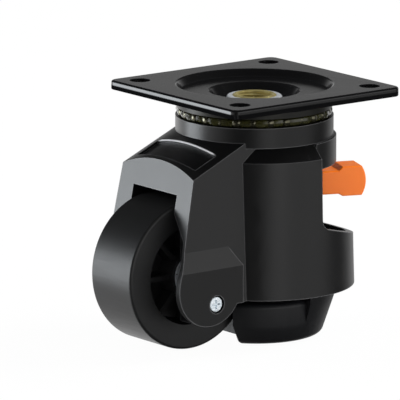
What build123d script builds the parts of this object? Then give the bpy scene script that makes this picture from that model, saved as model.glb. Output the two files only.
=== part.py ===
"""Levelling castor with a ratchet lever, all sizes in millimetres.

Origin: centre of the mounting plate's top face.  +Z is up, the wheel lies towards -X, and its
axle runs along Y.  The castor stands on its foot pad, the wheel just clear of the floor.
"""

import os
from math import cos, radians, sin, sqrt, tan

from build123d import *

# ---------------------------------------------------------------- clearances
body_gap = 0.3              # between pieces that move past each other
running_fit = 0.05          # radial, a shaft that turns or slides in its bore
seat_gap = 0.02             # radial, a piece held in its seat
cut_over = 1.0              # a cutting shape runs this far past the face it opens
bite = 1.0                  # one body of a piece runs this far into the next
same_size = 0.01            # two lengths closer than this count as equal

# ---------------------------------------------------------------- mounting plate
plate_width = 90.0
plate_thickness = 4.0
plate_corner = 4.0
plate_edge_round = 1.0
hole_pitch = 70.0
hole_diameter = 9.0
dish_radius = 33.65
dish_depth = 3.0
dish_wall_run = 1.8
well_radius = 19.5
well_depth = 7.2
well_wall_run = 2.4
well_wall_thickness = 3.6
dish_floor_thickness = 4.0
well_floor_thickness = 3.2

# ---------------------------------------------------------------- kingpin and swivel bearing
kingpin_radius = 9.4
kingpin_bore_radius = 7.5
kingpin_ring_radius = 12.0
kingpin_ring_height = 2.2
kingpin_flange_radius = 14.0
kingpin_flange_height = 2.2
kingpin_lip = 0.5
large_ball_diameter = 6.0
large_ball_count = 28
large_ball_circle = 30.5
large_ball_show = 3.9       # open height between the two large ball tracks
small_ball_diameter = 5.0
small_ball_count = 18
small_ball_circle = 16.5
small_ball_show = 2.4
track_ring_outer = 33.6
track_ring_width = 6.6
track_ring_height = 2.4
ball_cup_radius = 20.0
ball_cup_height = 3.2
ball_cup_chamfer = 1.0
bearing_cave_gap = 3.0      # radial, ball cup to the cave in the housing
deck_thickness = 4.4
kingpin_passage = 0.6

# ---------------------------------------------------------------- wheel
wheel_radius = 32.2
wheel_width = 28.0
wheel_offset = 44.8         # swivel axis to axle, along -X
stand_height = 108.6        # plate top to the foot's underside
wheel_lift = 0.8            # wheel's height above the foot's underside
tread_round = 1.2
hub_radius = 10.5
recess_radius = 20.0
recess_flare = 1.5
wheel_web = 9.0
wheel_rib_count = 8
wheel_rib_thickness = 2.2
wheel_rib_setback = 2.0
bush_wall = 2.4
axle_radius = 5.0
axle_length = 48.0
rod_end_chamfer = 0.6       # ends of the axle and of the guide rods
spacer_radius = 9.0

# ---------------------------------------------------------------- housing
ring_radius = 34.0
ring_height = 8.7
collar_radius = 35.2        # rear cylinder under the bearing ring
shoulder_height = 6.0       # 45 degree shoulder between bearing ring and barrel
barrel_radius = 40.1        # at the bottom edge
barrel_clearance = 21.3     # foot's underside to the barrel's bottom edge
barrel_draft = 1.6
foot_offset = 4.0           # swivel axis to foot axis, along +X
shell_wall = 3.4
core_radius = 25.0
window_top = 33.5           # depth of the rear window's upper edge
window_front = 2.7          # window's front wall, behind the foot axis
window_sill = 58.0          # depth of the sill at the window's front wall
window_sill_fall = 15.0     # degrees
window_corner = 5.0
floor_rise = 11.3           # barrel's bottom edge to the floor between core and shell
floor_thickness = 4.0

fork_front_top = 51.7       # reach of the fork's front face at its upper edge
fork_top_depth = 31.3       # depth of that edge at the cheeks
fork_front_lean = 11.0
fork_half_width = 24.8
fork_draft = 2.6
fork_panel_over_axle = 13.1  # axle to the thicker cheek panels' upper edge
fork_panel_slope = 8.5
fork_panel_rise = 2.3
fork_panel_rear = 27.9
fork_panel_corner = 6.5     # the slanted upper rear corner's run
fork_panel_inset = 0.5      # the panels' front upper corner behind the fork's front
fork_toe_radius = 16.4
fork_toe_drop = 3.4         # toe's centre below the axle
fork_toe_lead = 0.7         # and in front of it
roof_slope = 23.7
roof_arch_radius = 75.0
roof_cut_drop = 20.0        # the roof cut's reach below the arch's crown
cut_margin = 12.0           # how far a cutting sketch runs past the barrel's bottom
roof_panel_half_width = 20.6
roof_panel_setback = 2.2
roof_panel_length = 12.0
roof_panel_depth = 1.2
cheek_relief_over_axle = 28.1  # axle to the upper end of the relief inside the cheeks
cheek_knee_over_axle = 17.6
cheek_knee_half_width = 24.5
cheek_relief_lead = 6.7     # axle to the relief's rear wall
cheek_wall = 2.6            # left outside the relief
well_gap = 3.7              # wheel tread to housing
well_side_gap = 1.3         # wheel face to cheek

# ---------------------------------------------------------------- axle keepers
keeper_screw_drop = 10.7    # keeper screw below the axle
keeper_screw_back = 2.7     # and behind it
keeper_screw_radius = 1.5
keeper_head_radius = 3.1
keeper_head_height = 1.6
keeper_pocket_radius = 3.9
keeper_pocket_depth = 2.2
keeper_cross_width = 0.9
keeper_cross_length = 4.0
keeper_cross_depth = 1.0
keeper_screw_setback = 1.5  # screw's end to the cheek's inner face
keeper_block_height = 10.0

# ---------------------------------------------------------------- levelling gear
stem_radius = 6.0
lift_up = 3.0               # the foot's travel upwards
nut_top = 39.6
nut_height = 10.2
nut_tip_radius = 11.5
nut_notch_count = 10
nut_notch_radius = 2.3
nut_notch_depth = 2.6
thrust_washer_height = 1.6
thrust_washer_inset = 1.3   # washer's rim inside the gear cave's wall
ratchet_ring_wall = 3.1
ratchet_boss_width = 9.6
ratchet_boss_reach = 23.0   # foot axis to the boss's outer end
ratchet_boss_round = 1.2
pawl_radius = 2.0
pawl_tip_gap = 0.4
pawl_tip_ramp = 35.0
pawl_in_travel = 2.0
pawl_collar_radius = 2.9
pawl_collar_length = 1.0
pawl_washer_length = 0.7
chamber_radius = 3.3
chamber_start = 3.3         # ring bore to the spring chamber's inner end
plug_length = 1.4
spring_wire = 0.5
spring_turns = 2.0
spring_play = 0.1           # free length at each end of the spring, and beside the washer
lever_direction = -21.0     # degrees from +X to where the lever points at rest
lever_width = 12.4
lever_bar_height = 10.2
lever_bar_length = 7.6
lever_step_run = 1.9        # the slope from bar to head
lever_head_length = 8.6
lever_head_top = 6.8        # above the lever's axis
lever_head_bottom = 6.2     # below it
lever_head_crown = 1.9      # bulge of the head's end
lever_edge_round = 0.6

# ---------------------------------------------------------------- foot
pad_lead = 3.0              # pad's centre in front of the foot axis
pad_height = 23.6
pad_shoulder_height = 16.6
pad_top_radius = 35.0
pad_shoulder_radius = 33.9
pad_bottom_radius = 28.3
pad_bottom_round = 3.2
pad_front_height = 18.4
pad_rim_round = 2.5
pad_front_trim = 2.7
pad_notch_gap = 1.5
pad_notch_side_gap = 3.3
pad_recess_radius = 25.0
pad_recess_height = 10.6    # underside to the recess's floor
pad_wall = 2.6
pad_screw_hole_radius = 8.0
foot_plate_inset = 1.0      # foot plate's top below the pad's top
foot_plate_flange = 3.5
foot_hub_radius = 11.0
foot_rib_count = 6
foot_rib_thickness = 2.4
stem_top = 31.0
stem_end_chamfer = 1.0
stem_collar_radius = 8.5
stem_collar_height = 2.0
stem_seat_depth = 8.0
foot_screw_radius = 3.0
foot_screw_head_radius = 5.5
foot_screw_head_height = 2.5
foot_screw_length = 16.0
foot_screw_socket = 2.5
foot_screw_socket_depth = 1.75
foot_screw_chamfer = 0.5
guide_rod_radius = 2.5
guide_rod_circle = 19.0
guide_rod_back = 3.0
guide_rod_top = 61.0
guide_rod_seat = 1.5        # what stays of the foot plate under a rod
guide_bore_top = 57.0
stem_bush_wall = 2.0
stem_bush_length = 12.0

# ---------------------------------------------------------------- worked-out places
axle_x = -wheel_offset
axle_z = wheel_radius + wheel_lift - stand_height
barrel_bottom = stand_height - barrel_clearance
cut_reach = barrel_radius * 1.5
floor_depth = barrel_bottom - floor_rise
fork_panel_depth = -axle_z - fork_panel_over_axle
track_ring_top = -(dish_depth + dish_floor_thickness)
track_ring_bottom = track_ring_top - track_ring_height
ring_top = track_ring_bottom - large_ball_show
large_ball_z = (track_ring_bottom + ring_top) / 2
ring_bottom = ring_top - ring_height
deck_top = -(well_depth + well_floor_thickness + body_gap * 2)
deck_bottom = deck_top - deck_thickness
small_ball_z = deck_bottom - small_ball_show / 2
ball_cup_top = deck_bottom - small_ball_show
ball_cup_bottom = ball_cup_top - ball_cup_height
kingpin_top = kingpin_ring_height + kingpin_lip - well_depth
kingpin_bottom = ball_cup_bottom - kingpin_flange_height
bearing_cave_radius = ball_cup_radius + bearing_cave_gap
bearing_cave_bottom = -(stem_top - lift_up)
shoulder_bottom = ring_bottom - shoulder_height

gear_cave_top = -(nut_top - body_gap - thrust_washer_height)
gear_cave_bottom = -(nut_top + nut_height + body_gap + thrust_washer_height)
nut_bottom = -(nut_top + nut_height)
nut_middle = -(nut_top + nut_height / 2)
ratchet_bore = nut_tip_radius + pawl_tip_gap
ratchet_radius = ratchet_bore + ratchet_ring_wall
gear_cave_radius = ratchet_radius + body_gap
floor_bottom = -(floor_depth + floor_thickness)
well_half_width = wheel_width / 2 + well_side_gap
well_radius_round_wheel = wheel_radius + well_gap
chamber_inner = ratchet_bore + chamber_start
collar_inner = chamber_inner + pawl_in_travel + body_gap
washer_inner = collar_inner + pawl_collar_length
spring_inner = washer_inner + pawl_washer_length
plug_inner = ratchet_boss_reach - plug_length
lever_start = foot_offset + ratchet_boss_reach + pawl_in_travel + body_gap
pad_top = stand_height - pad_height
pad_shoulder = stand_height - pad_shoulder_height
pad_front_rim = stand_height - pad_front_height
pad_recess_floor = stand_height - pad_recess_height
foot_plate_top = pad_top + foot_plate_inset

foot_axis = Axis((foot_offset, 0, 0), (0, 0, 1))
axle_plane = Plane(origin=(axle_x, 0, axle_z), x_dir=(0, 1, 0), z_dir=(1, 0, 0))
axle_axis = Axis((axle_x, 0, axle_z), (0, 1, 0))
pieces = []


def keep(builder, name, turn=0.0):
    """Turn a finished piece about the foot axis, label it and put it on the list to write."""
    piece = builder.part.rotate(foot_axis, turn)
    piece.label = name
    pieces.append((name, piece))


def level(depth_z, x=0.0):
    """A horizontal plane at height depth_z with its origin x along the row."""
    return Plane(origin=(x, 0, depth_z))


# ================================================================ plate side
with BuildPart() as mounting_plate:
    with BuildSketch():
        RectangleRounded(plate_width, plate_width, plate_corner)
    extrude(amount=-plate_thickness)
    fillet(mounting_plate.edges().filter_by(GeomType.LINE).group_by(Axis.Z)[-1], plate_edge_round)
    fillet(mounting_plate.edges().filter_by(GeomType.LINE).group_by(Axis.Z)[0], plate_edge_round / 2)
    with BuildSketch():
        Circle(dish_radius)
    extrude(amount=-plate_thickness, mode=Mode.SUBTRACT)
    with BuildSketch(Plane.XZ):
        with BuildLine():
            Polyline(
                (dish_radius, 0),
                (dish_radius - dish_wall_run, -dish_depth),
                (well_radius, -dish_depth),
                (well_radius - well_wall_run, -well_depth),
                (kingpin_radius + seat_gap, -well_depth),
                (kingpin_radius + seat_gap, -well_depth - well_floor_thickness),
                (well_radius - well_wall_run + well_wall_thickness, -well_depth - well_floor_thickness),
                (well_radius + well_wall_thickness, track_ring_top),
                (track_ring_outer, track_ring_top),
                (dish_radius + plate_edge_round, -plate_thickness),
                (dish_radius + plate_edge_round, -plate_edge_round),
                (dish_radius + plate_edge_round, 0),
                close=True,
            )
        make_face()
    revolve(axis=Axis.Z)
    rims = mounting_plate.edges().filter_by(GeomType.CIRCLE)
    fillet(rims.filter_by(lambda e: abs(e.radius - dish_radius) < same_size), plate_edge_round)
    rims = mounting_plate.edges().filter_by(GeomType.CIRCLE)
    rims = rims.filter_by(lambda e: abs(e.radius - well_radius) < same_size)
    fillet(rims.group_by(Axis.Z)[-1], plate_edge_round)
    with BuildSketch():
        with GridLocations(hole_pitch, hole_pitch, 2, 2):
            Circle(hole_diameter / 2)
    extrude(amount=-plate_thickness, mode=Mode.SUBTRACT)
keep(mounting_plate, "mounting_plate")

with BuildPart() as upper_track:
    with BuildSketch(Plane.XZ):
        with Locations((track_ring_outer - track_ring_width / 2, track_ring_top - track_ring_height / 2)):
            Rectangle(track_ring_width, track_ring_height)
        with Locations((large_ball_circle, large_ball_z)):
            Circle(large_ball_diameter / 2 + body_gap, mode=Mode.SUBTRACT)
    revolve(axis=Axis.Z)
keep(upper_track, "upper_track")

with BuildPart() as kingpin:
    with BuildSketch(level(kingpin_top)):
        Circle(kingpin_radius)
    extrude(amount=kingpin_bottom - kingpin_top)
    with BuildSketch(level(kingpin_bottom)):
        Circle(kingpin_flange_radius)
    extrude(amount=kingpin_flange_height)
    with BuildSketch(level(kingpin_top)):
        Circle(kingpin_bore_radius)
    extrude(amount=kingpin_bottom - kingpin_top, mode=Mode.SUBTRACT)
    chamfer(kingpin.edges().group_by(Axis.Z)[-1], kingpin_lip)
keep(kingpin, "kingpin")

with BuildPart() as kingpin_ring:
    with BuildSketch(level(-well_depth)):
        Circle(kingpin_ring_radius)
        Circle(kingpin_radius + seat_gap, mode=Mode.SUBTRACT)
    extrude(amount=kingpin_ring_height)
    fillet(kingpin_ring.edges().group_by(Axis.Z)[-1].sort_by(SortBy.LENGTH)[-1], plate_edge_round)
keep(kingpin_ring, "kingpin_ring")

with BuildPart() as ball_cup:
    with BuildSketch(Plane.XZ):
        with BuildLine():
            Polyline(
                (kingpin_radius + seat_gap, ball_cup_top),
                (ball_cup_radius, ball_cup_top),
                (ball_cup_radius, ball_cup_bottom + ball_cup_chamfer),
                (ball_cup_radius - ball_cup_chamfer, ball_cup_bottom),
                (kingpin_radius + seat_gap, ball_cup_bottom),
                close=True,
            )
        make_face()
        with Locations((small_ball_circle, small_ball_z)):
            Circle(small_ball_diameter / 2 + seat_gap, mode=Mode.SUBTRACT)
    revolve(axis=Axis.Z)
keep(ball_cup, "ball_cup")

with BuildPart() as small_balls:
    with Locations((0, 0, small_ball_z)):
        with PolarLocations(small_ball_circle, small_ball_count):
            Sphere(small_ball_diameter / 2)
keep(small_balls, "small_balls")

with BuildPart() as large_balls:
    with Locations((0, 0, large_ball_z)):
        with PolarLocations(large_ball_circle, large_ball_count):
            Sphere(large_ball_diameter / 2)
keep(large_balls, "large_balls")

# ================================================================ housing
fork_front_bottom = fork_front_top + (fork_panel_depth - fork_top_depth) * tan(radians(fork_front_lean))
arch_drop = roof_arch_radius - sqrt(roof_arch_radius**2 - fork_half_width**2)
crown_depth = fork_top_depth - arch_drop
crown_reach = fork_front_top - arch_drop * tan(radians(fork_front_lean))
toe_x = axle_x - fork_toe_lead
toe_z = axle_z - fork_toe_drop
toe_left = (toe_x - fork_toe_radius, toe_z)
toe_low = (toe_x, toe_z - fork_toe_radius)
toe_end = (
    toe_x + sqrt(fork_toe_radius**2 - (barrel_bottom + toe_z) ** 2),
    -barrel_bottom,
)


def fork_front_edge(start):
    """Front outline of the fork from start down to the end of its round toe."""
    knee = (-fork_front_bottom, -fork_panel_depth)
    lean = (-tan(radians(fork_front_lean)), -1)
    Line(start, knee)
    Spline(knee, toe_left, tangents=(lean, (0, -1)))
    ThreePointArc(toe_left, toe_low, toe_end)


with BuildPart() as fork_block:
    with BuildSketch(Plane.XZ):
        with BuildLine():
            fork_front_edge((-crown_reach, -crown_depth))
            Polyline(
                toe_end,
                (-core_radius, -barrel_bottom),
                (-core_radius / 2, -barrel_bottom),
                (-core_radius / 2, ring_top - bite),
                (-core_radius, ring_top - bite),
                (-crown_reach, -crown_depth),
            )
        make_face()
    extrude(amount=barrel_radius, both=True)
    fork_drop = barrel_bottom + cut_margin - fork_top_depth
    low_half_width = fork_half_width + fork_drop * tan(radians(fork_draft))
    top_half_width = fork_half_width + (ring_top + fork_top_depth) * -tan(radians(fork_draft))
    with BuildSketch(Plane.YZ.offset(-wheel_offset * 2)):
        with BuildLine():
            Polyline(
                (-top_half_width, ring_top),
                (top_half_width, ring_top),
                (low_half_width, -barrel_bottom - cut_margin),
                (-low_half_width, -barrel_bottom - cut_margin),
                close=True,
            )
        make_face()
    extrude(amount=wheel_offset * 2, mode=Mode.INTERSECT)

panel_inner = fork_half_width + (fork_panel_depth - fork_top_depth) * tan(radians(fork_draft))
panel_outer = panel_inner + fork_panel_rise
panel_low = -barrel_bottom - cut_margin
with BuildPart() as cheek_panels:
    with BuildSketch(Plane.XZ):
        with BuildLine():
            panel_corner = (-fork_front_bottom + fork_panel_inset, -fork_panel_depth + fork_panel_inset)
            fork_front_edge(panel_corner)
            Polyline(
                toe_end,
                (-fork_panel_rear, -barrel_bottom),
                (-fork_panel_rear, -fork_panel_depth - fork_panel_slope),
                (-fork_panel_rear - fork_panel_corner, -fork_panel_depth),
                panel_corner,
            )
        make_face()
    extrude(amount=barrel_radius, both=True)
    with BuildSketch(Plane.YZ.offset(-wheel_offset * 2)):
        with BuildLine():
            Polyline(
                (-panel_inner, -fork_panel_depth),
                (panel_inner, -fork_panel_depth),
                (panel_outer, -fork_panel_depth - fork_panel_slope),
                (panel_outer, panel_low),
                (-panel_outer, panel_low),
                (-panel_outer, -fork_panel_depth - fork_panel_slope),
                close=True,
            )
        make_face()
    extrude(amount=wheel_offset * 2, mode=Mode.INTERSECT)

roof_plane = Plane(
    origin=(-crown_reach, 0, -crown_depth),
    x_dir=(0, 1, 0),
    z_dir=(cos(radians(roof_slope)), 0, sin(radians(roof_slope))),
)
with BuildPart() as roof_cut:
    with BuildSketch(roof_plane.offset(-cut_reach)):
        with Locations((0, roof_arch_radius / 2 - roof_cut_drop)):
            Rectangle(cut_reach * 2, roof_arch_radius)
        with Locations((0, -roof_arch_radius)):
            Circle(roof_arch_radius, mode=Mode.SUBTRACT)
    extrude(amount=cut_reach * 2)

with BuildPart() as roof_panel_cut:
    with BuildSketch(roof_plane.offset(roof_panel_setback)):
        with Locations((0, -roof_arch_radius)):
            Circle(roof_arch_radius + cut_over)
            Circle(roof_arch_radius - roof_panel_depth, mode=Mode.SUBTRACT)
        with Locations((0, 0)):
            Rectangle(roof_panel_half_width * 2, fork_half_width, mode=Mode.INTERSECT)
    extrude(amount=roof_panel_length)

barrel_height = barrel_bottom + shoulder_bottom
inner_radius = barrel_radius - shell_wall
with BuildPart() as window_cut:
    with BuildSketch(Plane.XZ):
        with BuildLine():
            Polyline(
                (foot_offset + window_front, -window_top),
                (foot_offset + window_front + cut_reach, -window_top),
                (
                    foot_offset + window_front + cut_reach,
                    -window_sill - cut_reach * tan(radians(window_sill_fall)),
                ),
                (foot_offset + window_front, -window_sill),
                close=True,
            )
        make_face()
        fillet(vertices().group_by(Axis.X)[0].sort_by(Axis.Y)[0], window_corner)
    extrude(amount=cut_reach, both=True)
    with BuildSketch(level(-barrel_bottom, foot_offset)):
        Circle(core_radius)
    extrude(amount=barrel_bottom, mode=Mode.SUBTRACT)

with BuildPart() as shell_cave:
    with BuildSketch(level(-floor_depth, foot_offset)):
        Circle(inner_radius - (barrel_bottom - floor_depth) * tan(radians(barrel_draft)))
        Circle(core_radius, mode=Mode.SUBTRACT)
        with Locations((-barrel_radius / 2 - foot_offset, 0)):
            Rectangle(barrel_radius, (well_half_width + shell_wall) * 2, mode=Mode.SUBTRACT)
    extrude(amount=floor_depth - window_top)

with BuildPart() as wheel_well:
    with BuildSketch(Plane(origin=(axle_x, 0, axle_z), x_dir=(1, 0, 0), z_dir=(0, -1, 0))):
        Circle(well_radius_round_wheel)
        with Locations((-well_radius_round_wheel / 2, 0)):
            Rectangle(well_radius_round_wheel, well_radius_round_wheel * 2)
        with Locations((0, -well_radius_round_wheel / 2)):
            Rectangle(well_radius_round_wheel * 2, well_radius_round_wheel)
    extrude(amount=well_half_width, both=True)

with BuildPart() as cheek_relief:
    with BuildSketch(Plane.YZ.offset(axle_x - cheek_relief_lead)):
        with BuildLine():
            Polyline(
                (0, axle_z + cheek_relief_over_axle),
                (well_half_width, axle_z + cheek_relief_over_axle),
                (cheek_knee_half_width, axle_z + cheek_knee_over_axle),
                (panel_outer - cheek_wall, -fork_panel_depth - fork_panel_slope),
                (panel_outer - cheek_wall, panel_low),
                (0, panel_low),
                close=True,
            )
        make_face()
        mirror(about=Plane.YZ)
    extrude(amount=-wheel_offset)

with BuildPart() as housing:
    add(fork_block.part)
    add(cheek_panels.part)
    add(roof_cut.part, mode=Mode.SUBTRACT)
    add(roof_panel_cut.part, mode=Mode.SUBTRACT)
    with BuildSketch(level(ring_top)):
        Circle(ring_radius)
    extrude(amount=-ring_height)
    with BuildSketch(level(-barrel_bottom, foot_offset)):
        Circle(barrel_radius)
    extrude(amount=barrel_height, taper=barrel_draft)
    top_radius = barrel_radius - barrel_height * tan(radians(barrel_draft))
    with BuildSketch(level(shoulder_bottom, foot_offset)):
        Circle(top_radius)
    extrude(amount=shoulder_height, taper=45)
    with BuildSketch(level(ring_bottom)):
        Circle(collar_radius)
        with Locations((foot_offset + window_front - barrel_radius, 0)):
            Rectangle(barrel_radius * 2, barrel_radius * 2, mode=Mode.SUBTRACT)
    extrude(amount=-(window_top + ring_bottom))
    # behind the window's front wall the shoulder and barrel give way to the collar
    with BuildSketch(level(ring_bottom)):
        with Locations((foot_offset + window_front + barrel_radius, 0)):
            Rectangle(barrel_radius * 2, cut_reach * 2)
        Circle(collar_radius, mode=Mode.SUBTRACT)
    extrude(amount=-(window_top + ring_bottom), mode=Mode.SUBTRACT)
    add(window_cut.part, mode=Mode.SUBTRACT)
    add(shell_cave.part, mode=Mode.SUBTRACT)
    add(wheel_well.part, mode=Mode.SUBTRACT)
    add(cheek_relief.part, mode=Mode.SUBTRACT)
    # swivel bearing: deck, ball tracks, kingpin passage and the cave below
    with BuildSketch(Plane.XZ):
        with BuildLine():
            Polyline(
                (0, ring_top + cut_over),
                (0, bearing_cave_bottom),
                (bearing_cave_radius, bearing_cave_bottom),
                (bearing_cave_radius, deck_bottom),
                (kingpin_radius + kingpin_passage, deck_bottom),
                (kingpin_radius + kingpin_passage, ring_top + cut_over),
                close=True,
            )
        make_face()
        with Locations((large_ball_circle, large_ball_z)):
            Circle(large_ball_diameter / 2 + seat_gap)
        with Locations((small_ball_circle, small_ball_z)):
            Circle(small_ball_diameter / 2 + body_gap)
    revolve(axis=Axis.Z, mode=Mode.SUBTRACT)
    # cave of the levelling nut and ratchet ring, open to the rear window
    with BuildSketch(level(gear_cave_bottom, foot_offset)):
        Circle(gear_cave_radius)
        with Locations((window_front + core_radius, 0)):
            Rectangle(core_radius * 2, (core_radius + cut_over) * 2)
    extrude(amount=gear_cave_top - gear_cave_bottom, mode=Mode.SUBTRACT)
    # stem passage, bush seat and guide bores
    with BuildSketch(level(floor_bottom, foot_offset)):
        Circle(stem_radius + body_gap)
    extrude(amount=bearing_cave_bottom - floor_bottom, mode=Mode.SUBTRACT)
    with BuildSketch(level(floor_bottom, foot_offset)):
        Circle(stem_radius + running_fit + stem_bush_wall + seat_gap)
    extrude(amount=stem_bush_length, mode=Mode.SUBTRACT)
    guide_x = -guide_rod_back
    guide_y = sqrt(guide_rod_circle**2 - guide_rod_back**2)
    with BuildSketch(level(floor_bottom, foot_offset)):
        with Locations((guide_x, guide_y), (guide_x, -guide_y)):
            Circle(guide_rod_radius + running_fit)
    extrude(amount=-guide_bore_top - floor_bottom, mode=Mode.SUBTRACT)
    # room for the foot below the floor
    with BuildSketch(level(-barrel_bottom, foot_offset)):
        Circle(inner_radius)
    extrude(amount=barrel_bottom + floor_bottom, mode=Mode.SUBTRACT)
    # axle slots in the cheeks, open downwards, and the keeper screws' pockets
    slot_depth = axle_length / 2 + body_gap
    with BuildSketch(Plane(origin=(axle_x, 0, axle_z), x_dir=(1, 0, 0), z_dir=(0, -1, 0))):
        Circle(axle_radius + seat_gap)
        with Locations((0, -barrel_radius / 2)):
            Rectangle((axle_radius + seat_gap) * 2, barrel_radius)
    extrude(amount=slot_depth, both=True, mode=Mode.SUBTRACT)
    screw_x = axle_x + keeper_screw_back
    screw_z = axle_z - keeper_screw_drop
    for side in (-1, 1):
        with BuildSketch(Plane(origin=(screw_x, side * panel_outer, screw_z), z_dir=(0, -side, 0))):
            Circle(keeper_pocket_radius)
        extrude(amount=keeper_pocket_depth, mode=Mode.SUBTRACT)
        with BuildSketch(Plane(origin=(screw_x, side * panel_outer, screw_z), z_dir=(0, -side, 0))):
            Circle(keeper_screw_radius + seat_gap)
        extrude(amount=panel_outer - well_half_width, mode=Mode.SUBTRACT)
keep(housing, "housing")

with BuildPart() as axle:
    with BuildSketch(Plane(origin=(axle_x, -axle_length / 2, axle_z), z_dir=(0, 1, 0))):
        Circle(axle_radius)
    extrude(amount=axle_length)
    chamfer(axle.edges(), rod_end_chamfer)
keep(axle, "axle")

with BuildPart() as axle_keepers:
    for side in (-1, 1):
        start_y = side * (well_half_width + body_gap)
        with BuildSketch(Plane(origin=(axle_x, start_y, axle_z), x_dir=(1, 0, 0), z_dir=(0, -1, 0))):
            with Locations((0, -axle_radius - keeper_block_height / 2)):
                Rectangle(axle_radius * 2, keeper_block_height + axle_radius)
            Circle(axle_radius + seat_gap, mode=Mode.SUBTRACT)
            with Locations((keeper_screw_back, -keeper_screw_drop)):
                Circle(keeper_screw_radius, mode=Mode.SUBTRACT)
        extrude(amount=-side * (slot_depth - well_half_width - body_gap * 2))
keep(axle_keepers, "axle_keepers")

with BuildPart() as keeper_screws:
    for side in (-1, 1):
        head_y = side * (panel_outer - keeper_pocket_depth + keeper_head_height)
        head_plane = Plane(origin=(screw_x, head_y, screw_z), z_dir=(0, -side, 0))
        with BuildSketch(head_plane):
            Circle(keeper_head_radius)
        extrude(amount=keeper_head_height)
        with BuildSketch(head_plane.offset(keeper_head_height)):
            Circle(keeper_screw_radius)
        extrude(amount=panel_outer - keeper_pocket_depth - well_half_width - keeper_screw_setback)
        with BuildSketch(head_plane):
            Rectangle(keeper_cross_length, keeper_cross_width)
            Rectangle(keeper_cross_width, keeper_cross_length)
        extrude(amount=keeper_cross_depth, mode=Mode.SUBTRACT)
keep(keeper_screws, "keeper_screws")

with BuildPart() as spacer_washers:
    for side in (-1, 1):
        with BuildSketch(Plane(origin=(axle_x, side * well_half_width, axle_z), z_dir=(0, -side, 0))):
            Circle(spacer_radius)
            Circle(axle_radius + seat_gap, mode=Mode.SUBTRACT)
        extrude(amount=well_side_gap - body_gap)
keep(spacer_washers, "spacer_washers")

with BuildPart() as upper_thrust_washer:
    with BuildSketch(level(gear_cave_top, foot_offset)):
        Circle(gear_cave_radius - thrust_washer_inset)
        Circle(stem_radius + body_gap, mode=Mode.SUBTRACT)
    extrude(amount=-thrust_washer_height)
keep(upper_thrust_washer, "upper_thrust_washer")

with BuildPart() as lower_thrust_washer:
    with BuildSketch(level(gear_cave_bottom, foot_offset)):
        Circle(gear_cave_radius - thrust_washer_inset)
        Circle(stem_radius + body_gap, mode=Mode.SUBTRACT)
    extrude(amount=thrust_washer_height)
keep(lower_thrust_washer, "lower_thrust_washer")

with BuildPart() as stem_bush:
    with BuildSketch(level(floor_bottom, foot_offset)):
        Circle(stem_radius + running_fit + stem_bush_wall)
        Circle(stem_radius + running_fit, mode=Mode.SUBTRACT)
    extrude(amount=stem_bush_length)
keep(stem_bush, "stem_bush")

# ================================================================ wheel
rib_run = recess_radius - hub_radius
rib_depth = (wheel_width - wheel_web) / 2 - wheel_rib_setback
bush_radius = axle_radius + running_fit + bush_wall
with BuildPart() as wheel:
    with BuildSketch(axle_plane):
        with BuildLine():
            half = wheel_width / 2
            web = wheel_web / 2
            Polyline(
                (-half, bush_radius), (-half, hub_radius), (-web, hub_radius), (-web, recess_radius),
                (-half, recess_radius + recess_flare), (-half, wheel_radius), (half, wheel_radius),
                (half, recess_radius + recess_flare), (web, recess_radius), (web, hub_radius),
                (half, hub_radius), (half, bush_radius), close=True,
            )
        make_face()
        fillet(vertices().group_by(Axis.Y)[-1], tread_round)
    revolve(axis=axle_axis)
    for side in (-1, 1):
        rib_plane = Plane(origin=(axle_x, side * wheel_web / 2, axle_z), z_dir=(0, side, 0))
        with BuildSketch(rib_plane):
            with PolarLocations(hub_radius + rib_run / 2, wheel_rib_count):
                Rectangle(rib_run + bite, wheel_rib_thickness)
        extrude(amount=rib_depth)
keep(wheel, "wheel")

with BuildPart() as wheel_bush:
    with BuildSketch(Plane(origin=(axle_x, -wheel_width / 2, axle_z), z_dir=(0, 1, 0))):
        Circle(bush_radius - seat_gap)
        Circle(axle_radius + running_fit, mode=Mode.SUBTRACT)
    extrude(amount=wheel_width)
keep(wheel_bush, "wheel_bush")

# ================================================================ levelling nut
with BuildPart() as levelling_nut:
    with BuildSketch(level(nut_bottom, foot_offset)):
        Circle(nut_tip_radius)
        Circle(stem_radius + running_fit, mode=Mode.SUBTRACT)
        with PolarLocations(nut_tip_radius - nut_notch_depth + nut_notch_radius, nut_notch_count):
            SlotOverall(nut_notch_radius * 4, nut_notch_radius * 2, mode=Mode.SUBTRACT)
    extrude(amount=nut_height)
keep(levelling_nut, "levelling_nut", lever_direction)

# ================================================================ ratchet ring and lever
boss_start = foot_offset + ratchet_radius - ratchet_ring_wall / 2
boss_end = foot_offset + ratchet_boss_reach


def across(x):
    """A plane square to the lever at x, centred on the lever's axis."""
    return Plane(origin=(x, 0, nut_middle), x_dir=(0, 1, 0), z_dir=(1, 0, 0))


with BuildPart() as ratchet_ring:
    with BuildSketch(level(nut_bottom, foot_offset)):
        Circle(ratchet_radius)
        Circle(ratchet_bore, mode=Mode.SUBTRACT)
    extrude(amount=nut_height)
    with BuildSketch(across(boss_start)):
        Rectangle(ratchet_boss_width, nut_height)
    extrude(amount=boss_end - boss_start)
    fillet(ratchet_ring.faces().sort_by(Axis.X)[-1].edges(), ratchet_boss_round)
    with BuildSketch(across(foot_offset + nut_tip_radius / 2)):
        Circle(pawl_radius + running_fit)
    extrude(amount=ratchet_boss_reach, mode=Mode.SUBTRACT)
    with BuildSketch(across(foot_offset + chamber_inner)):
        Circle(chamber_radius)
    extrude(amount=ratchet_boss_reach, mode=Mode.SUBTRACT)
keep(ratchet_ring, "ratchet_ring", lever_direction)

with BuildPart() as ring_plug:
    with BuildSketch(across(foot_offset + plug_inner)):
        Circle(chamber_radius - seat_gap)
        Circle(pawl_radius + running_fit, mode=Mode.SUBTRACT)
    extrude(amount=plug_length)
keep(ring_plug, "ring_plug", lever_direction)

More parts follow.
